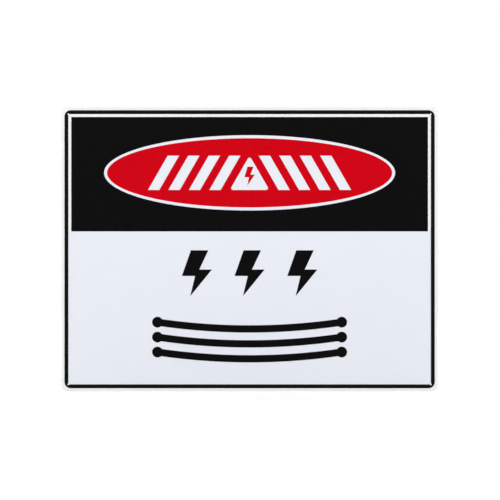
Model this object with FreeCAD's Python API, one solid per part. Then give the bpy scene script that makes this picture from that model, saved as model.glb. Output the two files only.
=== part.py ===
"""A high voltage warning sign: one pressed plastic sheet with black and red ink printed on its face.

A rib is pressed into the sheet close to its edge, all the way round, and stiffens it. The rib stands forward on
the face and is a groove of the same form on the back. Black ink lines the rib and fills a header with an oval
window. Red ink fills the window, apart from a ring where the white sheet shows. The red oval has a triangle and
slanted stripes left open in it, and the triangle holds a small red bolt. Below the header, a row of black bolts
stands above black wires that sag between round ends.

Frame: millimetres, +X to the right of the printed face, +Z up, and the face looks along -Y. The origin is the
middle of the flat back, where the sign is fixed to a wall, gate or pole. A depth is counted forward from the
back, so a depth of d lies at y = -d.
"""

import FreeCAD
import Part
import math
import os

Vector = FreeCAD.Vector

# The sheet: its outline, its thickness and the small bevel along its cut edge
SHEET_WIDTH = 300.0
SHEET_HEIGHT = 226.5
SHEET_THICKNESS = 0.8
SHEET_CORNER_RADIUS = 4.8
CUT_EDGE_BEVEL = 0.15

# The pressed rib: the flat margin outside it, its width from foot to foot, how far it stands forward, its outer
# corners, the hollow bend at each foot of its face and the bend at the bottom of its groove on the back
RIB_MARGIN = 2.65
RIB_WIDTH = 2.7
RIB_HEIGHT = 0.7
RIB_CORNER_RADIUS = 4.8
RIB_FOOT_RADIUS = 0.25
RIB_GROOVE_RADIUS = 0.15

# The ink, and the black header that it fills below the rib
INK_THICKNESS = 0.1
HEADER_GAP = 2.7
HEADER_HEIGHT = 90.8

# The oval window in the header, the white ring inside it, and how far the oval lies above the header's middle
WINDOW_WIDTH = 232.4
WINDOW_HEIGHT = 60.4
RING_WIDTH = 2.8
OVAL_RISE = 1.1

# The marks left open in the red oval, all of one height
MARK_HEIGHT = 27.4
TRIANGLE_WIDTH = 31.6
TRIANGLE_CORNER_RADIUS = 1.6
STRIPES_PER_SIDE = 4
STRIPE_WIDTH = 9.0
STRIPE_GAP = 7.3

# The red bolt inside the triangle
SMALL_BOLT_WIDTH = 8.2
SMALL_BOLT_HEIGHT = 15.0
SMALL_BOLT_RISE = 3.6

# The row of black bolts below the header
BOLT_COUNT = 3
BOLT_WIDTH = 24.0
BOLT_HEIGHT = 36.5
BOLT_PITCH = 42.0

# The black wires below the bolts, each between two round ends
WIRE_COUNT = 3
WIRE_SPAN = 146.8
WIRE_WIDTH = 5.8
WIRE_PITCH = 11.9
WIRE_SAG = 5.4
WIRE_END_DIAMETER = 8.6

# Bolts and wires share the bare height below the header evenly, and lie this much above an even share
MARKS_RISE = 1.2

# Places that follow from the sizes
RIB_INSET = RIB_MARGIN + RIB_WIDTH
PANEL_WIDTH = SHEET_WIDTH - 2 * RIB_INSET
PANEL_HEIGHT = SHEET_HEIGHT - 2 * RIB_INSET
PANEL_CORNER_RADIUS = RIB_CORNER_RADIUS - RIB_WIDTH
INK_DEPTH = SHEET_THICKNESS + INK_THICKNESS
HEADER_WIDTH = PANEL_WIDTH - 2 * HEADER_GAP
HEADER_TOP = PANEL_HEIGHT / 2 - HEADER_GAP
HEADER_FOOT = HEADER_TOP - HEADER_HEIGHT
OVAL_MIDDLE = (HEADER_TOP + HEADER_FOOT) / 2 + OVAL_RISE
MARK_FOOT = OVAL_MIDDLE - MARK_HEIGHT / 2
LOWER_FIELD_HEIGHT = HEADER_FOOT + PANEL_HEIGHT / 2
WIRES_HEIGHT = (WIRE_COUNT - 1) * WIRE_PITCH + (WIRE_END_DIAMETER + WIRE_WIDTH) / 2 + WIRE_SAG
ROW_GAP = (LOWER_FIELD_HEIGHT - BOLT_HEIGHT - WIRES_HEIGHT) / 3
BOLT_TIP = HEADER_FOOT - ROW_GAP + MARKS_RISE - BOLT_HEIGHT
WIRE_TOP = BOLT_TIP - ROW_GAP - WIRE_END_DIAMETER / 2

# Two places that differ by less than this are the same place
SAME_PLACE = 1e-6


def point(x, z, depth=0.0):
    """A point on the sign, at a depth in front of its back."""
    return Vector(x, -depth, z)


def long_edges(solid):
    """The edges that run straight through the thickness."""
    return [edge for edge in solid.Edges if edge.BoundBox.YLength > SAME_PLACE]


def face_edges(solid):
    """The edges that bound the front and the back."""
    return [edge for edge in solid.Edges if edge.BoundBox.YLength < SAME_PLACE]


def plate(width, height, front, corner_radius=0.0):
    """A flat plate about the origin, from the back to a depth, with square or rounded corners."""
    solid = Part.makeBox(width, front, height, point(-width / 2, -height / 2, front))
    if corner_radius > 0:
        solid = solid.makeFillet(corner_radius, long_edges(solid))
    return solid


def ink(outline):
    """The layer of ink over a wire that is drawn at the sheet's face."""
    return Part.Face(outline).extrude(Vector(0, -INK_THICKNESS, 0))


def polygon(places):
    """A closed wire with straight sides, at the sheet's face."""
    corners = [point(x, z, SHEET_THICKNESS) for x, z in places]
    return Part.makePolygon(corners + corners[:1])


def oval(width, height):
    """A closed elliptical wire about the oval's middle, at the sheet's face."""
    middle = point(0, OVAL_MIDDLE, SHEET_THICKNESS)
    side = point(width / 2, OVAL_MIDDLE, SHEET_THICKNESS)
    top = point(0, OVAL_MIDDLE + height / 2, SHEET_THICKNESS)
    return Part.Wire(Part.Ellipse(side, top, middle).toShape())


def disc(diameter, x, z):
    """A closed round wire, at the sheet's face."""
    return Part.Wire(Part.makeCircle(diameter / 2, point(x, z, SHEET_THICKNESS), Vector(0, 1, 0)))


def bolt(width, height, middle, tip):
    """The closed wire of one bolt. Its corners are shares of its width from its middle and of its height."""
    corners = (
        (-0.22, 0.00),
        (0.50, 0.58),
        (0.08, 0.58),
        (0.38, 1.00),
        (-0.20, 1.00),
        (-0.50, 0.44),
        (-0.06, 0.44),
    )
    return polygon([(middle + across * width, tip + up * height) for across, up in corners])


def rib_profile(offset):
    """Half of the rib's curve, from its inner foot to its top, moved off the sheet's face by an offset.

    Each point is a distance outwards from the inner foot and a height in front of the face. The first three
    points are the arc of the foot, the third and fourth are a straight flank, and the last three are the first
    half of the crown's arc. All of them meet tangentially.
    """
    half_width = RIB_WIDTH / 2
    crown_radius = RIB_GROOVE_RADIUS + SHEET_THICKNESS
    both_radii = RIB_FOOT_RADIUS + crown_radius
    rise = both_radii - RIB_HEIGHT
    slope = math.asin(both_radii / math.hypot(half_width, rise)) - math.atan2(rise, half_width)
    foot = RIB_FOOT_RADIUS - offset
    crown = crown_radius + offset
    crown_middle = RIB_HEIGHT - crown_radius

    def on_foot(angle):
        return foot * math.sin(angle), RIB_FOOT_RADIUS - foot * math.cos(angle)

    def on_crown(angle):
        return half_width - crown * math.sin(angle), crown_middle + crown * math.cos(angle)

    return [on_foot(0), on_foot(slope / 2), on_foot(slope), on_crown(slope), on_crown(slope / 2), on_crown(0)]


def rib_line(foot, x, offset):
    """The edges of the rib's whole curve across the upper side of the sign, from its inner foot outwards."""
    rising = rib_profile(offset)
    falling = [(RIB_WIDTH - across, forward) for across, forward in reversed(rising[:-1])]
    spots = [point(x, foot + across, SHEET_THICKNESS + forward) for across, forward in rising + falling]
    return [
        Part.Arc(spots[0], spots[1], spots[2]).toShape(),
        Part.LineSegment(spots[2], spots[3]).toShape(),
        Part.Arc(spots[3], spots[5], spots[7]).toShape(),
        Part.LineSegment(spots[7], spots[8]).toShape(),
        Part.Arc(spots[8], spots[9], spots[10]).toShape(),
    ]


def rib_section(foot, x, inner_offset, outer_offset):
    """The rib's cross-section between two offsets, above the place of its inner foot."""
    inner = rib_line(foot, x, inner_offset)
    outer = rib_line(foot, x, outer_offset)
    outer_end = Part.LineSegment(inner[-1].lastVertex().Point, outer[-1].lastVertex().Point).toShape()
    inner_end = Part.LineSegment(outer[0].firstVertex().Point, inner[0].firstVertex().Point).toShape()
    return Part.Face(Part.Wire(inner + [outer_end] + outer[::-1] + [inner_end]))


def rib_ring(inner_offset, outer_offset):
    """What lies between two offsets of the rib's curve, all the way round: four sides and four corners."""
    pieces = []
    for turn in range(4):
        width, height = (PANEL_WIDTH, PANEL_HEIGHT) if turn % 2 == 0 else (PANEL_HEIGHT, PANEL_WIDTH)
        straight = width - 2 * PANEL_CORNER_RADIUS
        section = rib_section(height / 2, straight / 2, inner_offset, outer_offset)
        corner_centre = point(straight / 2, height / 2 - PANEL_CORNER_RADIUS)
        side = section.extrude(Vector(-straight, 0, 0))
        corner = section.revolve(corner_centre, Vector(0, 1, 0), 90)
        for piece in (side, corner):
            piece.rotate(Vector(0, 0, 0), Vector(0, 1, 0), 90 * turn)
            pieces.append(piece)
    return pieces[0].multiFuse(pieces[1:])


def sign_sheet():
    """The pressed sheet: the flat panel, the rib round it and the flat margin outside, as one solid."""
    blank = plate(SHEET_WIDTH, SHEET_HEIGHT, SHEET_THICKNESS, SHEET_CORNER_RADIUS)
    blank = blank.makeChamfer(CUT_EDGE_BEVEL, face_edges(blank))
    rib_width = SHEET_WIDTH - 2 * RIB_MARGIN
    rib_height = SHEET_HEIGHT - 2 * RIB_MARGIN
    margin = blank.cut(plate(rib_width, rib_height, SHEET_THICKNESS, RIB_CORNER_RADIUS))
    panel = plate(PANEL_WIDTH, PANEL_HEIGHT, SHEET_THICKNESS, PANEL_CORNER_RADIUS)
    return margin.multiFuse([rib_ring(-SHEET_THICKNESS, 0.0), panel]).removeSplitter()


def border_print():
    """Black ink over the rib. Its inner corners are square, so the foot of the rib's corner stays bare."""
    bare = plate(PANEL_WIDTH, PANEL_HEIGHT, INK_DEPTH + RIB_HEIGHT)
    return rib_ring(0.0, INK_THICKNESS).cut(bare).removeSplitter()


def header_print():
    """The black header with its oval window."""
    side = HEADER_WIDTH / 2
    corners = [(-side, HEADER_FOOT), (side, HEADER_FOOT), (side, HEADER_TOP), (-side, HEADER_TOP)]
    return ink(polygon(corners)).cut(ink(oval(WINDOW_WIDTH, WINDOW_HEIGHT)))


def triangle():
    """The upright triangle in the middle of the oval, with rounded corners."""
    half = TRIANGLE_WIDTH / 2
    sharp = ink(polygon([(-half, MARK_FOOT), (half, MARK_FOOT), (0, MARK_FOOT + MARK_HEIGHT)]))
    return sharp.makeFillet(TRIANGLE_CORNER_RADIUS, long_edges(sharp))


def stripes():
    """The slanted stripes, parallel to the nearer side of the triangle."""
    slant = TRIANGLE_WIDTH / 2
    marks = []
    for number in range(STRIPES_PER_SIDE):
        low = slant + STRIPE_GAP + number * (STRIPE_WIDTH + STRIPE_GAP)
        high = low - slant
        for side in (-1, 1):
            marks.append(
                ink(
                    polygon(
                        [
                            (side * low, MARK_FOOT),
                            (side * (low + STRIPE_WIDTH), MARK_FOOT),
                            (side * (high + STRIPE_WIDTH), MARK_FOOT + MARK_HEIGHT),
                            (side * high, MARK_FOOT + MARK_HEIGHT),
                        ]
                    )
                )
            )
    return marks


def oval_print():
    """The red oval with the open triangle and stripes, and the red bolt inside the triangle."""
    field = ink(oval(WINDOW_WIDTH - 2 * RING_WIDTH, WINDOW_HEIGHT - 2 * RING_WIDTH))
    small_bolt = ink(bolt(SMALL_BOLT_WIDTH, SMALL_BOLT_HEIGHT, 0, MARK_FOOT + SMALL_BOLT_RISE))
    return Part.makeCompound([field.cut([triangle()] + stripes()).Solids[0], small_bolt])


def bolt_print():
    """The row of black bolts."""
    first = -(BOLT_COUNT - 1) / 2 * BOLT_PITCH
    middles = [first + number * BOLT_PITCH for number in range(BOLT_COUNT)]
    return Part.makeCompound([ink(bolt(BOLT_WIDTH, BOLT_HEIGHT, x, BOLT_TIP)) for x in middles])


def wire(top):
    """One black wire that sags between two round ends, with the middles of its ends at a height."""
    half = WIRE_SPAN / 2
    upper = top + WIRE_WIDTH / 2
    lower = top - WIRE_WIDTH / 2

    def sagging(start, end, height):
        places = ((start, height), (0, height - WIRE_SAG), (end, height))
        return Part.Arc(*(point(x, z, SHEET_THICKNESS) for x, z in places)).toShape()

    def upright(x, start, end):
        places = (point(x, start, SHEET_THICKNESS), point(x, end, SHEET_THICKNESS))
        return Part.LineSegment(*places).toShape()

    outline = [
        sagging(-half, half, upper),
        upright(half, upper, lower),
        sagging(half, -half, lower),
        upright(-half, lower, upper),
    ]
    ends = [ink(disc(WIRE_END_DIAMETER, x, top)) for x in (-half, half)]
    return ink(Part.Wire(outline)).multiFuse(ends).removeSplitter().Solids[0]


def wire_print():
    """The black wires, one below another."""
    return Part.makeCompound([wire(WIRE_TOP - number * WIRE_PITCH) for number in range(WIRE_COUNT)])


def main():
    os.makedirs("parts", exist_ok=True)
    pieces = {
        "sign_sheet": sign_sheet(),
        "border_print": border_print(),
        "header_print": header_print(),
        "oval_print": oval_print(),
        "bolt_print": bolt_print(),
        "wire_print": wire_print(),
    }
    for name, shape in pieces.items():
        shape.exportStep(f"parts/{name}.step")
        box = shape.optimalBoundingBox(True, False)
        spans = [(box.XMin, box.XMax), (box.YMin, box.YMax), (box.ZMin, box.ZMax)]
        extent = ", ".join(f"{axis} {low:.2f} to {high:.2f}" for axis, (low, high) in zip("xyz", spans))
        print(f"{name}: {len(shape.Solids)} solids, valid {shape.isValid()}, {shape.Volume:.1f} mm3, {extent}")


main()
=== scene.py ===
# %% [markdown]
# # A high voltage warning sign
#
# The sign is one thin sheet of white plastic. A rib is pressed into it all the way round, close to its
# edge, and black and red ink is screen printed on its face. The packed CAD model fixes every size and
# place. This lesson keeps them and adds what a CAD mesh leaves out: rounder bends, soft edges, the surface
# of plastic and of ink, and the light of a studio.

# %% Load the CAD model
import math

import bmesh
import bpy
from mathutils import Color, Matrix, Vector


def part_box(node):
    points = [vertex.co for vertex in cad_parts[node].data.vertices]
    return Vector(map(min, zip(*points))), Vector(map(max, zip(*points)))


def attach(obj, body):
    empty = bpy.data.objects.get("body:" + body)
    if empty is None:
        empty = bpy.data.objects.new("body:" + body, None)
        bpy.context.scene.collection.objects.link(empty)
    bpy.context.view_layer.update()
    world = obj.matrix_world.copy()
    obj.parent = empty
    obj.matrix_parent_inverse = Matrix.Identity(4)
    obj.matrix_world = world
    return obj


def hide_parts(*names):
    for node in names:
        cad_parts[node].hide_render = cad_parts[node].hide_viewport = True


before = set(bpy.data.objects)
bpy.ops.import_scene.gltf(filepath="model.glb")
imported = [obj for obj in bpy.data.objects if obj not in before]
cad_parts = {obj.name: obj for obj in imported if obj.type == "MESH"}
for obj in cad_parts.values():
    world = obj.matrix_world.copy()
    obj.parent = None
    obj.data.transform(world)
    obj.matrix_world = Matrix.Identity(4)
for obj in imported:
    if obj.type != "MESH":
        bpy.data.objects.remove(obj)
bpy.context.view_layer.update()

scene = bpy.context.scene
print("CAD nodes:", ", ".join(sorted(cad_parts)))

# %% [markdown]
# ## The sizes to work to
#
# Blender works in metres and a sign maker in millimetres, so each size below is a count of millimetres
# times `MM`. All of them could be typed here once more, but two copies drift apart. So what a CAD node's
# box tells is read from it, as the box's lowest and highest corners, and only what no box tells is typed.

# %% Read the sheet's size
MM = 0.001

sheet_low, sheet_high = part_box("sign_sheet")
SHEET_WIDTH = sheet_high.x - sheet_low.x
SHEET_HEIGHT = sheet_high.z - sheet_low.z
SHEET_THICKNESS = 0.8 * MM
RIB_HEIGHT = -sheet_low.y - SHEET_THICKNESS
print(f"sheet {SHEET_WIDTH / MM:.1f} x {SHEET_HEIGHT / MM:.1f} mm, rib {RIB_HEIGHT / MM:.2f} mm high")

# %% [markdown]
# ## Nodes that read like sums
#
# In Blender both shapes and finishes can be made of nodes, and a sum of ten terms takes ten Math nodes.
# Wiring each by hand hides what is worked out. The small class below stands for one output of a node.
# Python lets a class say what `+` or `*` does with it, and here each adds one Math node. The reflected
# forms, such as `__rsub__`, are for a sum that starts with a plain number, such as `1 - mask`.

# %% A socket that Python can calculate with
class Signal:
    """One output socket of a node. An operator on it adds a Math node to the same tree."""

    def __init__(self, tree, socket):
        self.tree = tree
        self.socket = socket

    def output(self, name):
        """Another output of the same node."""
        return Signal(self.tree, self.socket.node.outputs[name])

    def math(self, operation, *values):
        return self.tree.node("ShaderNodeMath", {"operation": operation}, dict(enumerate(values)))

    def __add__(self, other):
        return self.math("ADD", self, other)

    def __radd__(self, other):
        return self.math("ADD", other, self)

    def __sub__(self, other):
        return self.math("SUBTRACT", self, other)

    def __rsub__(self, other):
        return self.math("SUBTRACT", other, self)

    def __mul__(self, other):
        return self.math("MULTIPLY", self, other)

    def __rmul__(self, other):
        return self.math("MULTIPLY", other, self)

    def __truediv__(self, other):
        return self.math("DIVIDE", self, other)

    def __rtruediv__(self, other):
        return self.math("DIVIDE", other, self)

    def floor(self):
        return self.math("FLOOR", self)

    def size(self):
        """The number without its sign."""
        return self.math("ABSOLUTE", self)

    def root(self):
        """The square root, and 0 where the number is below 0."""
        return self.math("SQRT", self.at_least(0))

    def cosine(self):
        return self.math("COSINE", self)

    def sine(self):
        return self.math("SINE", self)

    def above(self, other):
        """1 where this is more than the other, and 0 elsewhere."""
        return self.math("GREATER_THAN", self, other)

    def at_least(self, other):
        return self.math("MAXIMUM", self, other)

    def at_most(self, other):
        return self.math("MINIMUM", self, other)

    def between(self, low, high):
        """0 below low, 1 above high, and an even rise from one to the other."""
        return ((self - low) / (high - low)).at_least(0).at_most(1)


print("a signal knows", ", ".join(name for name in vars(Signal) if not name.startswith("_")))

# %% [markdown]
# ## One method for every other node
#
# Most nodes aren't arithmetic. Each kind could have a helper, but a kind's own name already says what it
# does, so `node` adds any of them. It takes the kind, then its settings, because a setting can change which
# sockets there are, and last its sockets, each with a plain value, a signal, or a list of signals where a
# socket takes several. The trial at the end counts the nodes that one line of arithmetic takes.

# %% A tree of nodes
class Tree:
    """Blender's own node tree, called the board here, and the one method that adds nodes to it."""

    def __init__(self, board):
        self.board = board

    def node(self, kind, settings=None, sockets=None):
        """Adds a node and gives the first of its outputs, or the node itself if it has none."""
        made = self.board.nodes.new(kind)
        for name, value in (settings or {}).items():
            setattr(made, name, value)
        for key, value in (sockets or {}).items():
            if isinstance(key, int):
                socket = made.inputs[key]
            else:
                socket = next(entry for entry in made.inputs if entry.enabled and entry.name == key)
            if isinstance(value, Signal):
                self.board.links.new(value.socket, socket)
            elif isinstance(value, list):
                for signal in value:
                    self.board.links.new(signal.socket, socket)
            else:
                socket.default_value = value
        outputs = [socket for socket in made.outputs if socket.enabled]
        return Signal(self, outputs[0]) if outputs else made


trial = Tree(bpy.data.node_groups.new("trial", "ShaderNodeTree"))
mask = trial.node("ShaderNodeValue")
inverse = 1 - mask * 2
print("1 - mask * 2 takes", len(trial.board.nodes), "nodes, and the last does", inverse.socket.node.operation)
bpy.data.node_groups.remove(trial.board)

# %% [markdown]
# ## A tree that makes a shape
#
# A Geometry Nodes tree is a recipe: a shape comes in, nodes work on it, and another shape goes out. The
# shapes could be worked out point by point in Python, but a recipe has named inputs, so one can change its
# sizes in the modifier's panel and watch the shape. Every recipe here ends in the same two nodes. Realize
# Instances turns repeated copies into real faces, and Set Material gives them a finish.

# %% A tree for shapes
class ShapeTree(Tree):
    """A Geometry Nodes tree with named inputs. Its first input is the drawing that it starts from."""

    def __init__(self, name):
        super().__init__(bpy.data.node_groups.new(name, "GeometryNodeTree"))
        self.start = self.board.nodes.new("NodeGroupInput")
        self.board.interface.new_socket("Shape", in_out="OUTPUT", socket_type="NodeSocketGeometry")
        self.drawing = self.input("Drawing", "NodeSocketGeometry")

    def input(self, name, kind="NodeSocketFloat"):
        """A new named input, as a signal."""
        self.board.interface.new_socket(name, in_out="INPUT", socket_type=kind)
        return Signal(self, self.start.outputs[name])

    def end(self, shape):
        """Adds the last nodes of every recipe, and gives the finished recipe."""
        real = self.node("GeometryNodeRealizeInstances", sockets={"Geometry": shape})
        material = self.input("Material", "NodeSocketMaterial")
        finished = self.node("GeometryNodeSetMaterial", sockets={"Geometry": real, "Material": material})
        self.node("NodeGroupOutput", sockets={"Shape": finished})
        print(f"the recipe {self.board.name!r} has {len(self.board.nodes)} nodes")
        return self


# %% [markdown]
# ## From recipe to piece
#
# A modifier runs the recipe. Its inputs are set before the piece is worked out for the first time, and by
# each socket's identifier, because two sockets may share a name. The modifier could stay on the piece, but
# a plain mesh is what other programs read, so the result is taken as a mesh and the modifiers go. The
# printout counts the edges that don't have two faces and works out the volume. A closed piece has no such
# edge, and a volume above nothing says that its faces point outwards.

# %% Draw what a recipe starts from
def drawing(name, points, edges, marks=None):
    """A mesh of points and edges, and a number for each point where marks are given."""
    mesh = bpy.data.meshes.new(name)
    mesh.from_pydata(points, edges, [])
    for title, values in (marks or {}).items():
        mesh.attributes.new(title, "FLOAT", "POINT").data.foreach_set("value", values)
    return mesh


def closed_line(name, points):
    """A drawing of one outline that comes back to its first point."""
    count = len(points)
    edges = [(number, (number + 1) % count) for number in range(count)]
    return drawing(name, [(x, y, 0.0) for x, y in points], edges)


# %% Run a recipe and keep the mesh
SHARP_EDGE = math.radians(50)


def soften_edges(piece, width):
    """Rounds the piece's sharp edges."""
    bevel = piece.modifiers.new("Soft edges", "BEVEL")
    bevel.width = width
    bevel.segments = 2
    bevel.limit_method = "ANGLE"
    bevel.angle_limit = SHARP_EDGE


def report(piece):
    """Prints how many faces a piece has, whether it is closed, and where it lies."""
    check = bmesh.new()
    check.from_mesh(piece.data)
    loose = sum(1 for edge in check.edges if len(edge.link_faces) != 2)
    volume = check.calc_volume(signed=True)
    check.free()
    print(f"{piece.name}: {len(piece.data.polygons)} faces, {loose} open edges, {volume / MM**3:.1f} mm3")
    for number, axis in enumerate("xyz"):
        places = [vertex.co[number] / MM for vertex in piece.data.vertices]
        print(f"  {axis} from {min(places):.2f} to {max(places):.2f} mm")


def make_piece(name, recipe, sizes, start=None, edge=0.0):
    """A new object with the mesh that a recipe makes, and with soft edges where a width is given."""
    piece = bpy.data.objects.new(name, start or bpy.data.meshes.new(name))
    scene.collection.objects.link(piece)
    modifier = piece.modifiers.new("Recipe", "NODES")
    modifier.node_group = recipe.board
    inputs = [item for item in recipe.board.interface.items_tree if item.in_out == "INPUT"]
    identifiers = {item.name: item.identifier for item in inputs}
    for title, value in sizes.items():
        modifier[identifiers[title]] = value
    if edge:
        soften_edges(piece, edge)
    graph = bpy.context.evaluated_depsgraph_get()
    shaped = piece.evaluated_get(graph)
    mesh = bpy.data.meshes.new_from_object(shaped, preserve_all_data_layers=True, depsgraph=graph)
    piece.modifiers.clear()
    piece.data = mesh
    report(piece)
    return piece


# %% [markdown]
# ## The rib's profile
#
# A rib pressed into a sheet has no sharp bend: a hollow arc at its foot, a straight flank and a round
# crown, and the same again on the way down. It could be a rounded strip set on a flat sheet, but a pressed
# rib is hollow behind. So the back is the same curve moved off by the sheet's thickness, and the sheet is
# evenly thick. The arcs' radii are given, and the slope of the flank follows from them, because it has to
# touch both arcs.

# %% The curve across the rib
RIB_MARGIN = 2.65 * MM
RIB_WIDTH = 2.7 * MM
RIB_FOOT_RADIUS = 0.25 * MM
RIB_GROOVE_RADIUS = 0.15 * MM
RIB_CROWN_RADIUS = RIB_GROOVE_RADIUS + SHEET_THICKNESS
ARC_STEPS = 8


def rib_curve(offset):
    """Points across the rib, from its inner foot outwards, as a distance from that foot and a height."""
    half = RIB_WIDTH / 2
    both = RIB_FOOT_RADIUS + RIB_CROWN_RADIUS
    rise = both - RIB_HEIGHT
    slope = math.asin(both / math.hypot(half, rise)) - math.atan2(rise, half)
    foot = RIB_FOOT_RADIUS - offset
    crown = RIB_CROWN_RADIUS + offset
    crown_middle = RIB_HEIGHT - RIB_CROWN_RADIUS
    turns = [slope * step / ARC_STEPS for step in range(ARC_STEPS + 1)]
    rising = [(foot * math.sin(turn), RIB_FOOT_RADIUS - foot * math.cos(turn)) for turn in turns]
    for turn in reversed(turns):
        rising.append((half - crown * math.sin(turn), crown_middle + crown * math.cos(turn)))
    return rising + [(RIB_WIDTH - out, height) for out, height in rising[-2::-1]]


rib_top = max(height for out, height in rib_curve(0))
print(f"the rib's curve has {len(rib_curve(0))} points, and its crown is at {rib_top / MM:.2f} mm")

# %% [markdown]
# ## The sheet's whole profile
#
# Think of a saw cut through one side of the sign. The cut shows an outline: along the face, over the rib,
# across the margin, round the cut edge, and back along the rear. Face and back could be two surfaces joined
# afterwards, but one line can't leave a gap. Each of its points belongs to a line that runs all the way
# round the sign, a rectangle with round corners. So a point needs three numbers: how far out it lies, the
# corner radius of its line, and its depth. A further point on the flat beside each bend keeps the bend's
# smooth shading off the flat.

# %% Draw the profile
CORNER_RADIUS = 4.8 * MM
CUT_RADIUS = 0.15 * MM
CUT_STEPS = 4
FLAT_STRIP = 0.4 * MM
NEXT_LINE = 0.1 * MM
PANEL_CORNER_RADIUS = CORNER_RADIUS - RIB_WIDTH
SHEET_REACH = RIB_MARGIN + RIB_WIDTH

quarter = [math.pi / 2 * step / CUT_STEPS for step in range(CUT_STEPS + 1)]
rounding = [
    (SHEET_REACH - CUT_RADIUS * (1 - math.sin(turn)), CUT_RADIUS * (1 - math.cos(turn))) for turn in quarter
]


def half_profile(offset, side):
    """The face's points, or the back's, from the panel outwards. The side is 1 or, for the back, -1."""
    points = [(-FLAT_STRIP, offset)] + rib_curve(offset)
    points += [(RIB_WIDTH + NEXT_LINE, offset), (SHEET_REACH - CUT_RADIUS - NEXT_LINE, offset)]
    return points + [(out, offset - side * drop) for out, drop in rounding]


def line_radius(out):
    """The corner radius of the line that lies this far out from the panel."""
    if out <= RIB_WIDTH:
        return PANEL_CORNER_RADIUS + out
    return CORNER_RADIUS - (SHEET_REACH - out)


face_side = half_profile(0.0, 1)
back_side = half_profile(-SHEET_THICKNESS, -1)
profile = face_side + back_side[::-1]
steps = [math.dist(a, b) for a, b in zip(profile[:-1], profile[1:])]
lengths = [sum(steps[:number]) for number in range(len(profile))]
profile_drawing = drawing(
    "sheet profile",
    [(out, line_radius(out), SHEET_THICKNESS + height) for out, height in profile],
    [(number, number + 1) for number in range(len(profile) - 1)],
    {"across": lengths},
)
print(f"{len(profile)} lines run round the sheet, and the profile is {lengths[-1] / MM:.1f} mm long")

# %% [markdown]
# ## Colours
#
# The plastic is a nearly neutral white. Most of the face has a first printed coat over it, a bluer and
# slightly darker white. The black is a little above nothing, because no ink swallows all light. The colours
# could be typed as the levels from 0 to 255 that a screen shows, but a shader works with linear light, so
# they are written as that, and the levels are printed.

# %% The sign's colours
PURE_WHITE = (1.0, 1.0, 1.0)
WHITE_PLASTIC = (0.835, 0.845, 0.865)
WHITE_COAT = (0.785, 0.812, 0.872)
BLACK_INK = (0.0018, 0.0016, 0.0018)
RED_INK = (0.592, 0.0003, 0.0065)
COLOURS = {"plastic": WHITE_PLASTIC, "coat": WHITE_COAT, "black": BLACK_INK, "red": RED_INK}


def shade(colour, share):
    """A colour made brighter or darker, as the four numbers that a socket takes."""
    return tuple(channel * share for channel in colour) + (1.0,)


for title, colour in COLOURS.items():
    print(title,[round(255 * level) for level in Color(colour).from_scene_linear_to_srgb()])

# %% [markdown]
# ## Helpers for finishes
#
# Every pattern is laid out in Object coordinates. They are the piece's own metres, so a pattern has a real
# size, stays in place from every side and runs on from the sheet to the ink. A picture of plastic could be
# wrapped round the sign instead, but noise shows no seam and never repeats. Its scale is one over the size
# of its lumps. The bump node gets heights in metres with a distance of 1, so its slopes are true too. No
# real surface has one colour all over, so every colour drifts a little.

# %% A finish and its noise
def new_finish(name):
    """A material with only a shader in it: the material, its tree and the shader."""
    material = bpy.data.materials.new(name)
    material.use_nodes = True
    tree = Tree(material.node_tree)
    return material, tree, material.node_tree.nodes["Principled BSDF"]


def object_place(tree):
    """Where a point of the surface lies, in the piece's own metres."""
    return tree.node("ShaderNodeTexCoord").output("Object")


def lumps(tree, place, size, detail=2.0):
    """Noise about 0, from roughly -0.5 to 0.5, with lumps of a size in metres."""
    sockets = {"Vector": place, "Scale": 1 / size, "Detail": detail, "Roughness": 0.5}
    return tree.node("ShaderNodeTexNoise", sockets=sockets) - 0.5


def mix_colour(tree, share, first, second):
    """The first colour where the share is 0, and the second where it is 1."""
    return tree.node("ShaderNodeMix", {"data_type": "RGBA"}, {"Factor": share, "A": first, "B": second})


def drift(tree, place, size, darker, lighter):
    """A colour that drifts between two, in lumps of a size in metres."""
    return mix_colour(tree, 0.5 + lumps(tree, place, size), darker, lighter)


def bump(tree, height):
    """A normal that follows a height in metres."""
    return tree.node("ShaderNodeBump", sockets={"Strength": 1.0, "Distance": 1.0, "Height": height})


def connect(tree, shader, sockets):
    """Links signals to the shader's sockets by name."""
    for name, signal in sockets.items():
        tree.board.links.new(signal.socket, shader.inputs[name])


# %% The thin sheet's slow wave
WAVE_SIZE = 90 * MM
WAVE_HEIGHT = 0.25 * MM


def sheet_wave(tree, place):
    """How far the thin sheet is from flat, in metres. Ink shares it, because it lies on the sheet."""
    return lumps(tree, place, WAVE_SIZE, detail=1.0) * WAVE_HEIGHT


print(f"the sheet is flat to about {WAVE_HEIGHT / MM:.2f} mm over {WAVE_SIZE / MM:.0f} mm")

# %% [markdown]
# ## The white plastic
#
# The sheet is one piece with several surfaces. Its face is smooth and satin, with a very fine skin of
# unevenness from the roller. The back is duller and has faint lines along it, where the sheet was drawn
# over steel. The cut edge is rougher than both. The margin and the strip beside the header are bare
# plastic, and the rest of the face has the first coat of white. Several materials could share the mesh,
# with its faces sorted among them. One material that knows where it is needs no sorting. So the sheet's
# recipe stores a number called `across` on it, which says how far along the profile a point lies.

# %% Where each surface of the sheet begins
MARGIN_START = lengths[1 + len(rib_curve(0))]
EDGE_START = lengths[len(face_side) - len(rounding)]
BACK_START = lengths[len(face_side) + len(rounding) - 1]
CHANGE_WIDTH = 0.1 * MM

header_low, header_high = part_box("header_print")


def starts_at(across, start):
    """0 before a place on the profile and 1 after it."""
    return across.between(start, start + CHANGE_WIDTH)


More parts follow.
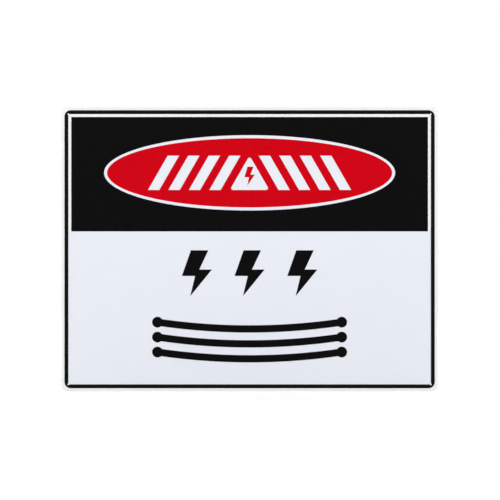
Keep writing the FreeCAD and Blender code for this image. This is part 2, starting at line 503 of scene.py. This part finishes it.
def beside_header(tree, place):
    """1 on both sides of the header and above it, and 0 elsewhere."""
    aside = tree.node("ShaderNodeSeparateXYZ", sockets={"Vector": place})
    up = aside.output("Z")
    return aside.size().above(header_high.x).at_least(up.above(header_high.z)) * up.above(header_low.z)


for title, start in (("margin", MARGIN_START), ("cut edge", EDGE_START), ("back", BACK_START)):
    print(f"the {title} starts {start / MM:.2f} mm along the profile")

# %% White plastic
PLASTIC_DRIFT = 0.015
PLASTIC_DRIFT_SIZE = 40 * MM
SKIN_SIZE = 1.1 * MM
SKIN_HEIGHT = 0.003 * MM
LINE_WIDTH = 1.2 * MM
LINE_HEIGHT = 0.012 * MM
LINE_SQUEEZE = 0.03
SAW_MARK_SIZE = 0.25 * MM
SAW_MARK_HEIGHT = 0.015 * MM
FACE_ROUGHNESS = 0.38
BACK_ROUGHNESS = 0.55
CUT_ROUGHNESS = 0.58
SATIN_PATCH = 15 * MM
SATIN_CHANGE = 0.08


def white_plastic():
    """The finish of the sheet's face, margin, cut edge and back."""
    material, tree, shader = new_finish("white plastic")
    place = object_place(tree)
    across = tree.node("ShaderNodeAttribute", {"attribute_name": "across"}).output("Fac")
    back = starts_at(across, BACK_START)
    cut = starts_at(across, EDGE_START) * (1 - back)
    bare = starts_at(across, MARGIN_START).at_least(beside_header(tree, place))
    whites = [
        mix_colour(tree, bare, shade(WHITE_COAT, share), shade(WHITE_PLASTIC, share))
        for share in (1 - PLASTIC_DRIFT, 1 + PLASTIC_DRIFT)
    ]
    along = tree.node("ShaderNodeMapping", sockets={"Vector": place, "Scale": (LINE_SQUEEZE, 1.0, 1.0)})
    height = (
        sheet_wave(tree, place)
        + lumps(tree, place, SKIN_SIZE) * (SKIN_HEIGHT + back * SKIN_HEIGHT)
        + lumps(tree, along, LINE_WIDTH, detail=3.0) * back * LINE_HEIGHT
        + lumps(tree, place, SAW_MARK_SIZE, detail=3.0) * cut * SAW_MARK_HEIGHT
    )
    roughness = (
        FACE_ROUGHNESS
        + lumps(tree, place, SATIN_PATCH) * SATIN_CHANGE
        + back * (BACK_ROUGHNESS - FACE_ROUGHNESS)
        + cut * (CUT_ROUGHNESS - FACE_ROUGHNESS)
    )
    connect(tree, shader, {
        "Base Color": drift(tree, place, PLASTIC_DRIFT_SIZE, *whites),
        "Roughness": roughness,
        "Normal": bump(tree, height),
    })
    return material


plastic = white_plastic()
print("white plastic has", len(plastic.node_tree.nodes), "nodes")

# %% [markdown]
# ## The pressed sheet
#
# The recipe makes a grid with one row for each point of the profile and one column for each step round the
# sign, and then moves every point of the grid to its place. Four corners take all the columns, and the
# straight sides are the long faces from one corner's last column to the next corner's first. Two flat faces
# with the same columns close the face and the back. It could be a curve swept along a path, but the cut
# edge's corners aren't parallel to the rib's, and a rule for each point gives both exactly.

# %% Helpers for a grid that runs round the sign
CORNER_POINTS = 17
COLUMNS = 4 * CORNER_POINTS
WELD = 0.001 * MM


def ring_grid(tree, rows):
    """A grid to run round the sign, and each point's row and column. The last column meets the first."""
    grid = tree.node("GeometryNodeMeshGrid", sockets={"Vertices X": rows, "Vertices Y": COLUMNS + 1})
    index = tree.node("GeometryNodeInputIndex")
    row = (index / (COLUMNS + 1)).floor()
    return grid, row, index - row * (COLUMNS + 1)


def corner_turn(column):
    """A column's direction from its corner's middle, the diagonal's, and the corner's side in x and in z."""
    corner = (column / CORNER_POINTS).floor()
    angle = (corner + (column - corner * CORNER_POINTS) / (CORNER_POINTS - 1)) * (math.pi / 2)
    diagonal = (corner + 0.5) * (math.pi / 2)
    return angle, diagonal, diagonal.cosine() * math.sqrt(2), diagonal.sine() * math.sqrt(2)


def moved(tree, mesh, x, y, z):
    """A mesh with every point moved to x, y and z."""
    position = tree.node("ShaderNodeCombineXYZ", sockets={"X": x, "Y": y, "Z": z})
    return tree.node("GeometryNodeSetPosition", sockets={"Geometry": mesh, "Position": position})


def marked(tree, mesh, name, value):
    """A mesh that keeps a number at each of its points."""
    sockets = {"Geometry": mesh, "Name": name, "Value": value}
    return tree.node("GeometryNodeStoreNamedAttribute", {"data_type": "FLOAT"}, sockets)


def welded(tree, *meshes):
    """Meshes joined into one, with points in the same place made one point."""
    joined = tree.node("GeometryNodeJoinGeometry", sockets={"Geometry": list(meshes)})
    return tree.node("GeometryNodeMergeByDistance", sockets={"Geometry": joined, "Distance": WELD})


def smooth(tree, mesh):
    return tree.node("GeometryNodeSetShadeSmooth", sockets={"Geometry": mesh})


print(f"{COLUMNS} columns go round the sign, {CORNER_POINTS} of them at each corner")

# %% The recipe for the sheet
def line_numbers(tree, line):
    """What the drawing says about one of its points: distance out, corner radius, depth and place across."""
    position = tree.node("GeometryNodeInputPosition")
    stored = tree.node("GeometryNodeInputNamedAttribute", {"data_type": "FLOAT"}, {"Name": "across"})
    numbers = []
    for kind, value in (("FLOAT_VECTOR", position), ("FLOAT", stored)):
        sockets = {"Geometry": tree.drawing, "Value": value, "Index": line}
        numbers.append(tree.node("GeometryNodeSampleIndex", {"data_type": kind}, sockets))
    out = tree.node("ShaderNodeSeparateXYZ", sockets={"Vector": numbers[0]})
    return out, out.output("Y"), out.output("Z"), numbers[1]


def sheet_recipe():
    """A pressed sheet from the drawing of its profile."""
    tree = ShapeTree("Pressed sheet")
    panel_width = tree.input("Panel Width")
    panel_height = tree.input("Panel Height")

    def round_the_sign(mesh, line, column):
        """Moves a mesh's points to their places on the lines round the sign."""
        out, radius, depth, across = line_numbers(tree, line)
        angle, diagonal, side_x, side_z = corner_turn(column)
        x = side_x * (panel_width / 2 + out - radius) + angle.cosine() * radius
        z = side_z * (panel_height / 2 + out - radius) + angle.sine() * radius
        return marked(tree, moved(tree, mesh, x, 0 - depth, z), "across", across)

    lines = tree.node("GeometryNodeAttributeDomainSize", {"component": "MESH"}, {"Geometry": tree.drawing})
    grid, row, column = ring_grid(tree, lines)
    shell = round_the_sign(grid, row, column)
    flat = tree.node("GeometryNodeMeshCircle", {"fill_type": "NGON"}, {"Vertices": COLUMNS})
    index = tree.node("GeometryNodeInputIndex")
    face = round_the_sign(flat, 0, index)
    rear = tree.node("GeometryNodeFlipFaces", sockets={"Mesh": round_the_sign(flat, lines - 1, index)})
    return tree.end(smooth(tree, welded(tree, shell, face, rear)))


# %% Press the sheet
sheet_sizes = {
    "Panel Width": SHEET_WIDTH - 2 * SHEET_REACH,
    "Panel Height": SHEET_HEIGHT - 2 * SHEET_REACH,
    "Material": plastic,
}
sheet = make_piece("pressed_sheet", sheet_recipe(), sheet_sizes, profile_drawing)

# %% [markdown]
# ## The inks
#
# Screen ink is pushed through a fine mesh and levels out before it dries, so it is smoother than the
# plastic but never quite even. Black and red are the same ink in two colours. It dries nearly matt. A
# shader's usual gloss would mirror the white studio and turn black to grey, and a darker base colour can't
# take that back, so the specular level is low. The black on the rib's outer flank is painted lighter, a dark
# grey that stands for the light that the sloping flank catches: a painted sheen. That takes a number that
# says how far out a point lies, which the border's recipe stores as `stretch`.

# %% Black and red ink
INK_GLOSS = 0.05
BLACK_ROUGHNESS = 0.30
RED_ROUGHNESS = 0.28
# FLANK_STARTS and FLANK_ENDS mark the rib's outer flank, where the black is painted lighter as a sheen.
FLANK_STARTS = (0.45, 0.7)
FLANK_ENDS = (0.9, 1.0)
FLANK_PAINTED_SHEEN = 0.8
INK_DRIFT = 0.04
INK_DRIFT_SIZE = 22 * MM
INK_SKIN = ((0.9 * MM, 0.004 * MM), (0.2 * MM, 0.001 * MM))
INK_PATCH = 6 * MM
INK_PATCH_CHANGE = 0.07


def ink_finish(name, colour, roughness, painted_sheen=0.0):
    """Screen ink of one colour, which may carry a painted sheen, lighter by a share, on the rib's outer
    flank.
    """
    material, tree, shader = new_finish(name)
    place = object_place(tree)
    paint = drift(tree, place, INK_DRIFT_SIZE, shade(colour, 1 - INK_DRIFT), shade(colour, 1 + INK_DRIFT))
    if painted_sheen:
        # Painted sheen: the black is lighter on the rib's outer flank, for the light that the slope catches.
        stretch = tree.node("ShaderNodeAttribute", {"attribute_name": "stretch"}).output("Fac")
        flank = stretch.between(*FLANK_STARTS) * (1 - stretch.between(*FLANK_ENDS))
        paint = mix_colour(tree, flank, paint, shade(colour, 1 + painted_sheen))
    height = sheet_wave(tree, place)
    for size, rise in INK_SKIN:
        height = height + lumps(tree, place, size) * rise
    connect(tree, shader, {
        "Base Color": paint,
        "Roughness": roughness + lumps(tree, place, INK_PATCH, detail=3.0) * INK_PATCH_CHANGE,
        "Normal": bump(tree, height),
    })
    shader.inputs["Specular IOR Level"].default_value = INK_GLOSS
    print(name, "has", len(tree.board.nodes), "nodes")
    return material


black_ink = ink_finish("black ink", BLACK_INK, BLACK_ROUGHNESS)
# This black carries the painted sheen on the rib's outer flank.
rib_ink_painted_sheen = ink_finish("black ink on the rib", BLACK_INK, BLACK_ROUGHNESS, FLANK_PAINTED_SHEEN)
red_ink = ink_finish("red ink", RED_INK, RED_ROUGHNESS)

# %% [markdown]
# ## Ink that lies on the sheet
#
# Every print starts as a flat shape held in front of the sign. Its points could be lifted over the rib by
# the sums of the sheet's recipe, but Raycast needs no sums: it looks from each point straight at the sheet
# and tells where it hits, and the point moves there. So the ink lies on whatever form the sheet has.
# Extrude Mesh then lifts the ink by its thickness and makes its sides, and the first shape, turned over, is
# its underside.
#
# Wet ink creeps a little past the stencil's edge. That shows only where a thin bare line lies between two
# inks, so the border, the header and the oval have `INK_SPREAD`, and the marks that stand free don't.

# %% Lay ink on the sheet
INK_THICKNESS = 0.1 * MM
INK_SPREAD = 0.18 * MM
INK_EDGE = 0.03 * MM
CLEAR = 5 * MM


def upright(tree, flat):
    """A flat shape drawn on the ground, stood up so that it faces the front."""
    return tree.node("GeometryNodeTransform", sockets={"Geometry": flat, "Rotation": (math.pi / 2, 0, 0)})


def filled(tree, *outlines):
    """The faces inside closed curves. A curve inside another one is a hole."""
    joined = tree.node("GeometryNodeJoinGeometry", sockets={"Geometry": list(outlines)})
    return tree.node("GeometryNodeFillCurve", {"mode": "NGONS"}, {"Curve": joined})


def lay_ink(tree, flat):
    """Lays an upright flat mesh on the sheet as a layer of ink."""
    target = tree.node("GeometryNodeObjectInfo", sockets={"Object": tree.input("Sheet", "NodeSocketObject")})
    aside = tree.node("ShaderNodeSeparateXYZ", sockets={"Vector": tree.node("GeometryNodeInputPosition")})
    start = tree.node("ShaderNodeCombineXYZ", sockets={"X": aside, "Y": -CLEAR, "Z": aside.output("Z")})
    ray = {
        "Target Geometry": target.output("Geometry"),
        "Source Position": start,
        "Ray Direction": (0, 1, 0),
        "Ray Length": 2 * CLEAR,
    }
    hit = tree.node("GeometryNodeRaycast", sockets=ray).output("Hit Position")
    laid = tree.node("GeometryNodeSetPosition", sockets={"Geometry": flat, "Position": hit})
    lift = {"Mesh": laid, "Offset Scale": tree.input("Thickness"), "Individual": False}
    lifted = tree.node("GeometryNodeExtrudeMesh", {"mode": "FACES"}, lift)
    return welded(tree, lifted, tree.node("GeometryNodeFlipFaces", sockets={"Mesh": laid}))


def print_on_sheet(name, recipe, ink, sizes, start=None):
    """A piece of ink on the sheet, with soft edges."""
    shared = {"Sheet": sheet, "Thickness": INK_THICKNESS, "Material": ink}
    return make_piece(name, recipe, sizes | shared, start, INK_EDGE)


print(f"ink is {INK_THICKNESS / MM:.2f} mm thick, with edges rounded by {INK_EDGE / MM:.2f} mm")

# %% [markdown]
# ## The black border
#
# The border covers the rib. Its outer side follows the rib's round corners, but its inner side is a plain
# rectangle with sharp corners. Right in each corner a small round bite stays bare, where the ink didn't
# reach the rib's foot. Its white spot is partly bare plastic and partly a painted highlight for the glint on
# the rib's corner. A line swept along a path can't be round outside and sharp inside, so the recipe is a grid
# again, with rows from the inner side to the outer side. Two rules place its inner side along each direction
# from a corner's middle. A square lies as far away as its half side divided by the larger of the direction's
# two parts. The bite's edge lies where the direction leaves a circle about the square's corner.

# %% The recipe for the border
BORDER_ROWS = 33


def inner_side(angle, diagonal, half_side, bite_radius):
    """How far from a corner's middle the border's inner side lies in a direction."""
    square = half_side / angle.cosine().size().at_least(angle.sine().size())
    corner = half_side * math.sqrt(2)
    beside = corner * (angle - diagonal).sine()
    inside = bite_radius * bite_radius - beside * beside
    bite = (corner * (angle - diagonal).cosine() + inside.root()) * inside.above(0)
    return square.at_least(bite)


def border_recipe():
    """A band round the sign, laid on the rib."""
    tree = ShapeTree("Printed border")
    panel_width = tree.input("Panel Width")
    panel_height = tree.input("Panel Height")
    inner_radius = tree.input("Inner Radius")
    width = tree.input("Width")
    grid, row, column = ring_grid(tree, BORDER_ROWS)
    angle, diagonal, side_x, side_z = corner_turn(column)
    share = row / (BORDER_ROWS - 1)
    inner = inner_side(angle, diagonal, inner_radius, tree.input("Bite Radius"))
    reach = inner * (1 - share) + (inner_radius + width) * share
    x = side_x * (panel_width / 2 - inner_radius) + angle.cosine() * reach
    z = side_z * (panel_height / 2 - inner_radius) + angle.sine() * reach
    # stretch says how far out across the band a point lies, and places the ink's painted sheen.
    band = marked(tree, moved(tree, grid, x, -CLEAR, z), "stretch", (reach - inner_radius) / width)
    return tree.end(smooth(tree, lay_ink(tree, welded(tree, band))))


# %% Print the border
# Each bare bite's white spot stands in part for the glint at the rib's inner corner: a painted highlight.
BITE_RADIUS = 0.6 * MM

border = print_on_sheet("border_ink", border_recipe(), rib_ink_painted_sheen, {
    "Panel Width": SHEET_WIDTH - 2 * SHEET_REACH - 2 * INK_SPREAD,
    "Panel Height": SHEET_HEIGHT - 2 * SHEET_REACH - 2 * INK_SPREAD,
    "Inner Radius": PANEL_CORNER_RADIUS - INK_SPREAD,
    "Width": RIB_WIDTH + 2 * INK_SPREAD,
    "Bite Radius": BITE_RADIUS,
})

# %% [markdown]
# ## The header and its window
#
# The header is a black rectangle with an oval window. The window could be cut out with a Boolean modifier,
# but Fill Curve takes an inner outline for a hole, which is simpler and exact. The oval is a circle
# stretched to its two sizes, with enough points that no straight piece of its edge is over 3 mm long.

# %% The recipe for the header
OVAL_POINTS = 256


def oval(tree, width, height, middle):
    """A closed oval curve, drawn on the ground, with its middle this far up."""
    sockets = {"Resolution": OVAL_POINTS, "Radius": 0.5}
    circle = tree.node("GeometryNodeCurvePrimitiveCircle", {"mode": "RADIUS"}, sockets)
    size = tree.node("ShaderNodeCombineXYZ", sockets={"X": width, "Y": height, "Z": 1.0})
    place = tree.node("ShaderNodeCombineXYZ", sockets={"Y": middle})
    sockets = {"Geometry": circle, "Scale": size, "Translation": place}
    return tree.node("GeometryNodeTransform", sockets=sockets)


def header_recipe():
    """A rectangle with an oval window, laid on the sheet."""
    tree = ShapeTree("Printed header")
    sockets = {"Width": tree.input("Width"), "Height": tree.input("Height")}
    outline = tree.node("GeometryNodeCurvePrimitiveQuadrilateral", {"mode": "RECTANGLE"}, sockets)
    place = tree.node("ShaderNodeCombineXYZ", sockets={"Y": tree.input("Middle")})
    outline = tree.node("GeometryNodeTransform", sockets={"Geometry": outline, "Translation": place})
    window = oval(tree, tree.input("Window Width"), tree.input("Window Height"), tree.input("Window Middle"))
    return tree.end(lay_ink(tree, upright(tree, filled(tree, outline, window))))


# %% Print the header
WINDOW_WIDTH = 232.4 * MM
WINDOW_HEIGHT = 60.4 * MM

oval_low, oval_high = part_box("oval_print")
OVAL_MIDDLE = (oval_low.z + oval_high.z) / 2

header = print_on_sheet("header_ink", header_recipe(), black_ink, {
    "Width": header_high.x - header_low.x + 2 * INK_SPREAD,
    "Height": header_high.z - header_low.z + 2 * INK_SPREAD,
    "Middle": (header_high.z + header_low.z) / 2,
    "Window Width": WINDOW_WIDTH - 2 * INK_SPREAD,
    "Window Height": WINDOW_HEIGHT - 2 * INK_SPREAD,
    "Window Middle": OVAL_MIDDLE,
})

# %% [markdown]
# ## A bolt's outline
#
# A lightning bolt has seven corners. They could be typed in millimetres for each bolt. Here they are shares
# of its width and height, so the small red bolt and the large black ones are one drawing at two sizes.

# %% Draw a bolt
BOLT_CORNERS = (
    (-0.22, 0.00),
    (0.50, 0.58),
    (0.08, 0.58),
    (0.38, 1.00),
    (-0.20, 1.00),
    (-0.50, 0.44),
    (-0.06, 0.44),
)


def bolt_drawing(name, width, height, middle, tip):
    """The outline of one bolt, about a middle and above the height of its tip."""
    return closed_line(name, [(middle + across * width, tip + up * height) for across, up in BOLT_CORNERS])


print("a bolt has", len(BOLT_CORNERS), "corners")

# %% [markdown]
# ## The red oval and its open marks
#
# The red oval has a triangle and slanted stripes left open, where the white shows through. All of them are
# holes in one filled shape. The triangle is a circle with three points, stretched to its size and with
# rounded corners. The stripes could be eight outlines drawn one by one. They are one slanted box repeated
# along a line for the right half, and once more as a mirror image. The small bolt is a print of its own
# inside the triangle.

# %% The outlines of the open marks
ROUND_TRIANGLE_WIDTH = math.sqrt(3)
ROUND_TRIANGLE_HEIGHT = 1.5
TRIANGLE_CORNER_STEPS = 8


def triangle_outline(tree, middle, width, height):
    """An upright triangle about a middle, with rounded corners."""
    circle = {"Resolution": 3, "Radius": 1.0}
    corners = tree.node("GeometryNodeCurvePrimitiveCircle", {"mode": "RADIUS"}, circle)
    turn = {"Geometry": corners, "Rotation": (0, 0, math.pi / 2)}
    turned = tree.node("GeometryNodeTransform", sockets=turn)
    stretch ={"X": width / ROUND_TRIANGLE_WIDTH, "Y": height / ROUND_TRIANGLE_HEIGHT, "Z": 1.0}
    size = tree.node("ShaderNodeCombineXYZ", sockets=stretch)
    place = tree.node("ShaderNodeCombineXYZ", sockets={"Y": middle - height / 6})
    sockets = {"Geometry": turned, "Scale": size, "Translation": place}
    sharp = tree.node("GeometryNodeTransform", sockets=sockets)
    sockets = {"Curve": sharp, "Radius": tree.input("Corner Radius"), "Count": TRIANGLE_CORNER_STEPS}
    return tree.node("GeometryNodeFilletCurve", {"mode": "POLY"}, sockets)


def stripe_outlines(tree, middle, triangle_width, height):
    """The stripes to the right of the triangle, parallel to its side, and those to its left."""
    width = tree.input("Stripe Width")
    gap = tree.input("Stripe Gap")
    slant = triangle_width / 2
    box = {"Width": width, "Height": height, "Offset": 0 - slant}
    stripe = tree.node("GeometryNodeCurvePrimitiveQuadrilateral", {"mode": "PARALLELOGRAM"}, box)
    first = tree.node("ShaderNodeCombineXYZ", sockets={"X": slant / 2 + gap + width / 2, "Y": middle})
    step = tree.node("ShaderNodeCombineXYZ", sockets={"X": width + gap})
    line = {"Count": tree.input("Stripes Per Side", "NodeSocketInt"), "Start Location": first, "Offset": step}
    places = tree.node("GeometryNodeMeshLine", sockets=line)
    right = tree.node("GeometryNodeInstanceOnPoints", sockets={"Points": places, "Instance": stripe})
    right = tree.node("GeometryNodeRealizeInstances", sockets={"Geometry": right})
    return right, tree.node("GeometryNodeTransform", sockets={"Geometry": right, "Scale": (-1, 1, 1)})


# %% The recipe for the red oval
def oval_recipe():
    """A red oval with open marks and a small bolt, laid on the sheet."""
    tree = ShapeTree("Printed oval")
    middle = tree.input("Middle")
    mark_height = tree.input("Mark Height")
    triangle_width = tree.input("Triangle Width")
    field = oval(tree, tree.input("Width"), tree.input("Height"), middle)
    triangle = triangle_outline(tree, middle, triangle_width, mark_height)
    right, left = stripe_outlines(tree, middle, triangle_width, mark_height)
    red = filled(tree, field, triangle, right, left)
    small_bolt = filled(tree, tree.node("GeometryNodeMeshToCurve", sockets={"Mesh": tree.drawing}))
    both = tree.node("GeometryNodeJoinGeometry", sockets={"Geometry": [red, small_bolt]})
    return tree.end(lay_ink(tree, upright(tree, both)))


# %% Print the red oval
MARK_HEIGHT = 27.4 * MM
TRIANGLE_WIDTH = 31.6 * MM
TRIANGLE_CORNER_RADIUS = 1.6 * MM
STRIPE_WIDTH = 9.0 * MM
STRIPE_GAP = 7.3 * MM
STRIPES_PER_SIDE = 4
SMALL_BOLT_WIDTH = 8.2 * MM
SMALL_BOLT_HEIGHT = 15.0 * MM
SMALL_BOLT_RISE = 3.6 * MM

small_tip = OVAL_MIDDLE - MARK_HEIGHT / 2 + SMALL_BOLT_RISE
small_bolt = bolt_drawing("small bolt outline", SMALL_BOLT_WIDTH, SMALL_BOLT_HEIGHT, 0.0, small_tip)
red_oval = print_on_sheet("oval_ink", oval_recipe(), red_ink, {
    "Width": oval_high.x - oval_low.x + 2 * INK_SPREAD,
    "Height": oval_high.z - oval_low.z + 2 * INK_SPREAD,
    "Middle": OVAL_MIDDLE,
    "Mark Height": MARK_HEIGHT,
    "Triangle Width": TRIANGLE_WIDTH,
    "Corner Radius": TRIANGLE_CORNER_RADIUS,
    "Stripe Width": STRIPE_WIDTH,
    "Stripe Gap": STRIPE_GAP,
    "Stripes Per Side": STRIPES_PER_SIDE,
}, small_bolt)

# %% [markdown]
# ## Rows of black marks
#
# Three bolts stand side by side, and three wires hang one below another. Both are one outline repeated in
# even steps, so one recipe does for both: copies of the outline on the points of a line, filled and laid on
# the sheet. Copies of a finished print would do too, but each would have to be laid on the sheet by itself.

# %% The recipe for a row
def row_recipe():
    """Copies of a drawn outline in even steps, laid on the sheet."""
    tree = ShapeTree("Printed row")
    outline = tree.node("GeometryNodeMeshToCurve", sockets={"Mesh": tree.drawing})
    line = {"Count": tree.input("Count", "NodeSocketInt"), "Offset": tree.input("Step", "NodeSocketVector")}
    places = tree.node("GeometryNodeMeshLine", sockets=line)
    copies = tree.node("GeometryNodeInstanceOnPoints", sockets={"Points": places, "Instance": outline})
    copies = tree.node("GeometryNodeRealizeInstances", sockets={"Geometry": copies})
    return tree.end(lay_ink(tree, upright(tree, filled(tree, copies))))


printed_row = row_recipe()

# %% Print the bolts
BOLT_COUNT = 3
BOLT_WIDTH = 24.0 * MM

bolts_low, bolts_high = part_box("bolt_print")
bolt_height = bolts_high.z - bolts_low.z
bolt_pitch = (bolts_high.x - bolts_low.x - BOLT_WIDTH) / (BOLT_COUNT - 1)
first_bolt = bolt_drawing("bolt outline", BOLT_WIDTH, bolt_height, bolts_low.x + BOLT_WIDTH / 2, bolts_low.z)
bolts = print_on_sheet("bolt_row_ink", printed_row, black_ink, {
    "Count": BOLT_COUNT,
    "Step": (bolt_pitch, 0, 0),
}, first_bolt)
print(f"the bolts stand {bolt_pitch / MM:.1f} mm apart")

# %% [markdown]
# ## A wire's outline
#
# A wire is an even band that sags between two discs. A band and two discs could be filled one by one, but
# the ink would be two layers thick where they meet, so one outline goes round all three. It is found with
# one upper and one lower limit at each place from left to right: the band's edge or the disc's, whichever
# reaches further. The places lie close together at the discs, where the outline turns fast.

# %% Draw a wire
WIRE_COUNT = 3
WIRE_WIDTH = 5.8 * MM
WIRE_SAG = 5.4 * MM
WIRE_END_DIAMETER = 8.6 * MM
BAND_STEPS = 30
STEPS_AT_DISC = 3
DISC_STEPS = 60

wires_low, wires_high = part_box("wire_print")
end_radius = WIRE_END_DIAMETER / 2
half_span = wires_high.x - end_radius
wire_top = wires_high.z - end_radius


def wire_reach(x):
    """The highest and lowest place of the wire at a place from left to right."""
    edges = []
    if abs(x) <= half_span:
        middle = wire_top - WIRE_SAG * (1 - (x / half_span) ** 2)
        edges += [middle + WIRE_WIDTH / 2, middle - WIRE_WIDTH / 2]
    if abs(abs(x) - half_span) < end_radius:
        rise = math.sqrt(end_radius**2 - (abs(x) - half_span) ** 2)
        edges += [wire_top + rise, wire_top - rise]
    return max(edges), min(edges)


last_step = BAND_STEPS - STEPS_AT_DISC
on_band = [half_span * step / BAND_STEPS for step in range(-last_step, last_step + 1)]
on_disc = [half_span - end_radius * math.cos(math.pi * step / DISC_STEPS) for step in range(1, DISC_STEPS)]
places = [-x for x in reversed(on_disc)] + on_band + on_disc
upper = [(x, wire_reach(x)[0]) for x in places]
lower = [(x, wire_reach(x)[1]) for x in reversed(places)]
far_end = half_span + end_radius
wire_outline = [(-far_end, wire_top)] + upper + [(far_end, wire_top)] + lower
print("a wire's outline has", len(wire_outline), "points")

# %% Print the wires
wire_height = end_radius + WIRE_SAG + WIRE_WIDTH / 2
wire_pitch = (wires_high.z - wires_low.z - wire_height) / (WIRE_COUNT - 1)
wires = print_on_sheet("wire_row_ink", printed_row, black_ink, {
    "Count": WIRE_COUNT,
    "Step": (0, -wire_pitch, 0),
}, closed_line("wire outline", wire_outline))
print(f"the wires hang {wire_pitch / MM:.1f} mm apart")

# %% [markdown]
# ## Every piece rides on the sign
#
# The sign has one body. Each piece stands for the CAD node whose place it takes, and the table names the
# finish that it wears. The CAD nodes could be hidden by hand, but then nothing would say which piece
# stands for which node.

# %% Tie the pieces to the CAD model
for piece, node, slot in (
    (sheet, "sign_sheet", "white_sheet"),
    (border, "border_print", "black_ink"),
    (header, "header_print", "black_ink"),
    (red_oval, "oval_print", "red_ink"),
    (bolts, "bolt_print", "black_ink"),
    (wires, "wire_print", "black_ink"),
):
    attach(piece, "root")
    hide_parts(node)
    print(piece.name, "stands for", node)

# %% [markdown]
# ## The floor
#
# The sign stands on a pale floor that runs on into a white background. Stronger lamps would whiten the
# floor, but they would bleach the sign too. So the floor adds some light of its own, which only the camera
# sees: less close to the sign, where its soft shadow has to show, and more further out, where nothing may
# tell the floor from the background.

# %% The floor's finish
FLOOR_DARKER = 0.86
FLOOR_LIGHTER = 0.90
FLOOR_LUMP = 30 * MM
FLOOR_ROUGHNESS = 0.9
NEAR_GLOW = 0.29
GLOW_START = 0.5
GLOW_FULL = 1.1


def floor_finish():
    """A matt pale floor with a glow for the camera that grows with the distance from the sign."""
    material, tree, shader = new_finish("pale floor")
    place = object_place(tree)
    seen = tree.node("ShaderNodeLightPath").output("Is Camera Ray")
    distance = tree.node("ShaderNodeVectorMath", {"operation": "LENGTH"}, {0: place}).output("Value")
    glow = seen * (NEAR_GLOW + distance.between(GLOW_START, GLOW_FULL) * (1 - NEAR_GLOW))
    darker = shade(PURE_WHITE, FLOOR_DARKER)
    lighter = shade(PURE_WHITE, FLOOR_LIGHTER)
    connect(tree, shader, {
        "Base Color": drift(tree, place, FLOOR_LUMP, darker, lighter),
        "Emission Color": mix_colour(tree, glow, shade(PURE_WHITE, 0), shade(PURE_WHITE, 1)),
    })
    shader.inputs["Emission Strength"].default_value = 1.0
    shader.inputs["Roughness"].default_value = FLOOR_ROUGHNESS
    shader.inputs["Specular IOR Level"].default_value = 0.0
    return material


# %% Lay the floor
FLOOR_RADIUS = 2.5
FLOOR_SIDES = 96

shape = bmesh.new()
bmesh.ops.create_circle(shape, cap_ends=True, radius=FLOOR_RADIUS, segments=FLOOR_SIDES)
for vertex in shape.verts:
    vertex.co.z = sheet_low.z
floor_mesh = bpy.data.meshes.new("floor")
shape.to_mesh(floor_mesh)
shape.free()
floor_mesh.materials.append(floor_finish())
floor = bpy.data.objects.new("floor", floor_mesh)
scene.collection.objects.link(floor)
print(f"the floor lies at {sheet_low.z / MM:.1f} mm")

# %% [markdown]
# ## Light
#
# One wide soft lamp stands high in front, so the sign is lightest at its top edge, as in the photograph,
# and two tall ones at the sides keep the face even. Three more light the back. They are weaker, so the soft
# shadow falls behind the sign. A sky picture could light it all, but lamps are easier to weigh against each
# other. The world fills the rest with a quarter of its strength. Rays from the camera, and those that gloss
# or glass sends on, see the world as plain white.

# %% The world
FILL_LIGHT = 0.25


def studio_world():
    """A world that looks white and lights the sign with its fill alone."""
    world = bpy.data.worlds.new("studio")
    world.use_nodes = True
    tree = Tree(world.node_tree)
    path = tree.node("ShaderNodeLightPath")
    seen = path.output("Is Camera Ray")
    for ray in ("Is Glossy Ray", "Is Transmission Ray"):
        seen = seen.at_least(path.output(ray))
    background = world.node_tree.nodes["Background"]
    background.inputs["Color"].default_value = shade(PURE_WHITE, 1)
    strength = seen * (1 - FILL_LIGHT) + FILL_LIGHT
    tree.board.links.new(strength.socket, background.inputs["Strength"])
    return world


scene.world = studio_world()
print("the world fills with", FILL_LIGHT)

# %% Lamps, each with its place, width, height and watts
LAMPS = {
    "high front lamp": ((0.0, -1.5, 1.7), 2.6, 1.0, 27),
    "left front lamp": ((-2.0, -1.4, 0.5), 1.0, 1.6, 16),
    "right front lamp": ((2.0, -1.4, 0.5), 1.0, 1.6, 16),
    "high back lamp": ((0.0, 1.5, 1.7), 2.6, 1.0, 17),
    "left back lamp": ((-2.0, 1.4, 0.5), 1.0, 1.6, 14),
    "right back lamp": ((2.0, 1.4, 0.5), 1.0, 1.6, 6),
}


def soft_lamp(name, place, width, height, watts):
    """A large soft lamp that looks at the middle of the sign."""
    light = bpy.data.lights.new(name, "AREA")
    light.shape = "RECTANGLE"
    light.size = width
    light.size_y = height
    light.energy = watts
    lamp = bpy.data.objects.new(name, light)
    lamp.location = place
    lamp.rotation_euler = (-lamp.location).to_track_quat("-Z", "Y").to_euler()
    scene.collection.objects.link(lamp)
    print(f"{name}: {watts} watts from {width} x {height} m")


for name, values in LAMPS.items():
    soft_lamp(name, *values)

# %% [markdown]
# ## The camera
#
# The photograph looks straight at the sign, and its frame is 398.5 mm wide there. A camera without
# perspective could take it, but a long lens far away keeps the sides nearly as parallel, and works as a
# real camera does. In the photograph the sign's middle lies part of a pixel left of the frame's middle and
# above it, so the camera moves as far the other way.

# %% Camera
FRAME_WIDTH = 398.5 * MM
FRAME_PIXELS = 500
PIXEL = FRAME_WIDTH / FRAME_PIXELS
SIGN_LEFT = 0.4 * PIXEL
SIGN_UP = 0.78 * PIXEL
CAMERA_DISTANCE = 2.4

camera_data = bpy.data.cameras.new("camera")
camera_data.sensor_width = 36
camera_data.lens = camera_data.sensor_width * CAMERA_DISTANCE / FRAME_WIDTH
camera = bpy.data.objects.new("camera", camera_data)
camera.location = (SIGN_LEFT, -CAMERA_DISTANCE - SHEET_THICKNESS, -SIGN_UP)
camera.rotation_euler = (math.pi / 2, 0, 0)
scene.collection.objects.link(camera)
scene.camera = camera
scene.view_settings.view_transform = "Standard"
print(f"the lens is {camera_data.lens:.0f} mm long")
